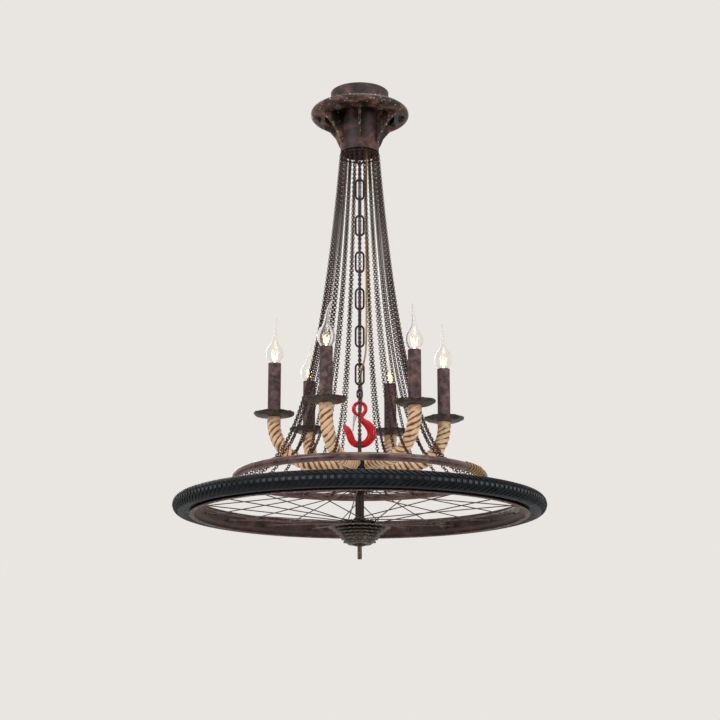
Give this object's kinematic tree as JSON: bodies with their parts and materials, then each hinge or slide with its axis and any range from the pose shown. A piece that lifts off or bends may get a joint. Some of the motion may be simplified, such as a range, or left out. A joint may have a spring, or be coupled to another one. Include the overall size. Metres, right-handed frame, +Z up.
{
  "type": "bicycle wheel pendant light",
  "caption": "Hanging light on a chain curtain, with a hoop, rope-covered candle arms and a spinning spoked bicycle wheel with a freewheel below.",
  "frame": {"origin": "centre of the ceiling face, on top of the ceiling bracket", "axes": "+Z up into the ceiling, viewer on the -Y side, +X to the viewer's right; the chain, hub and wheel share the Z axis"},
  "size_m": [0.715, 0.715, 0.952],
  "materials": {
    "zinc_steel": "zinc plated, satin",
    "dark_screw": "dark browned steel, worn",
    "chain_iron": "dark browned iron with rust",
    "terminal_plastic": "matte",
    "canopy_iron": "mottled rust brown and black, chipped",
    "flex_sheath": "clear golden plastic",
    "hook_red": "gloss red enamel",
    "latch_zinc": "bright zinc",
    "hub_iron": "black browned iron",
    "rope_jute": "twisted jute rope, tan",
    "tube_steel": "plain steel",
    "pan_iron": "hammered dark iron",
    "sleeve_rust": "mottled rusty brown",
    "holder_plastic": "matte black",
    "cap_brass": "satin brass",
    "bulb_glass": "clear blown glass",
    "filament": "lit warm white",
    "hoop_brown": "brown enamel, satin",
    "tyre_rubber": "black rubber",
    "tube_rubber": "matte black",
    "rim_rust": "rusty dark brown steel",
    "spoke_steel": "dull, browned",
    "nipple_brass": "dull plated brass",
    "valve_metal": "bright nickel, worn",
    "hub_brown": "reddish brown steel",
    "ball_steel": "polished",
    "axle_steel": "dull steel",
    "freewheel_steel": "dark oiled steel"
  },
  "bodies": {
    "frame": {"ceiling_bracket": "zinc_steel", "canopy_screws": "dark_screw", "ceiling_eye": "chain_iron", "terminal_block": "terminal_plastic", "canopy_drum": "canopy_iron", "flange_disc": "canopy_iron", "flange_ribs": "canopy_iron", "flange_bolts": "dark_screw", "collar_tube": "canopy_iron", "curtain_ring": "chain_iron", "curtain_chain_1": "chain_iron", "curtain_chain_2": "chain_iron", "curtain_chain_3": "chain_iron", "curtain_chain_4": "chain_iron", "curtain_chain_5": "chain_iron", "curtain_chain_6": "chain_iron", "heavy_chain": "chain_iron", "thin_chain": "chain_iron", "power_flex": "flex_sheath", "hook": "hook_red", "latch_pin": "latch_zinc", "hub_eye": "hub_iron", "arm_hub": "hub_iron", "rope_arm_1": "rope_jute", "rope_arm_2": "rope_jute", "rope_arm_3": "rope_jute", "rope_arm_4": "rope_jute", "rope_arm_5": "rope_jute", "rope_arm_6": "rope_jute", "arm_tubes": "tube_steel", "drip_pans": "pan_iron", "candle_sleeves": "sleeve_rust", "lamp_holders": "holder_plastic", "bulb_caps": "cap_brass", "bulbs": "bulb_glass", "filaments": "filament", "hoop": "hoop_brown", "hoop_whipping": "rope_jute", "axle_cones": "axle_steel", "axle_nut": "axle_steel", "axle": "axle_steel"},
    "wheel": {"tyre": "tyre_rubber", "inner_tube": "tube_rubber", "valve": "valve_metal", "rim": "rim_rust", "spokes_upper": "spoke_steel", "spokes_lower": "spoke_steel", "nipples": "nipple_brass", "hub_shell": "hub_brown", "bearing_balls": "ball_steel", "freewheel_core": "freewheel_steel"},
    "freewheel": {"freewheel_body": "freewheel_steel", "sprocket_1": "freewheel_steel", "sprocket_2": "freewheel_steel", "sprocket_3": "freewheel_steel", "sprocket_4": "freewheel_steel", "sprocket_5": "freewheel_steel", "sprocket_6": "freewheel_steel"},
    "latch": {"hook_latch": "latch_zinc"}
  },
  "joints": [
    {"name": "wheel_spin", "type": "hinge", "parent": "frame", "child": "wheel", "pos_m": [0, 0, -0.853], "axis": [0, 0, 1], "continuous": true},
    {"name": "freewheel_spin", "type": "hinge", "parent": "wheel", "child": "freewheel", "pos_m": [0, 0, -0.9], "axis": [0, 0, 1], "continuous": true},
    {"name": "latch_hinge", "type": "hinge", "parent": "frame", "child": "latch", "pos_m": [-0.0096, 0, -0.67575], "axis": [0, -1, 0], "range_deg": [0, 35], "stiffness_Nm_per_rad": 0.01, "springref_deg": -28.65}
  ]
}
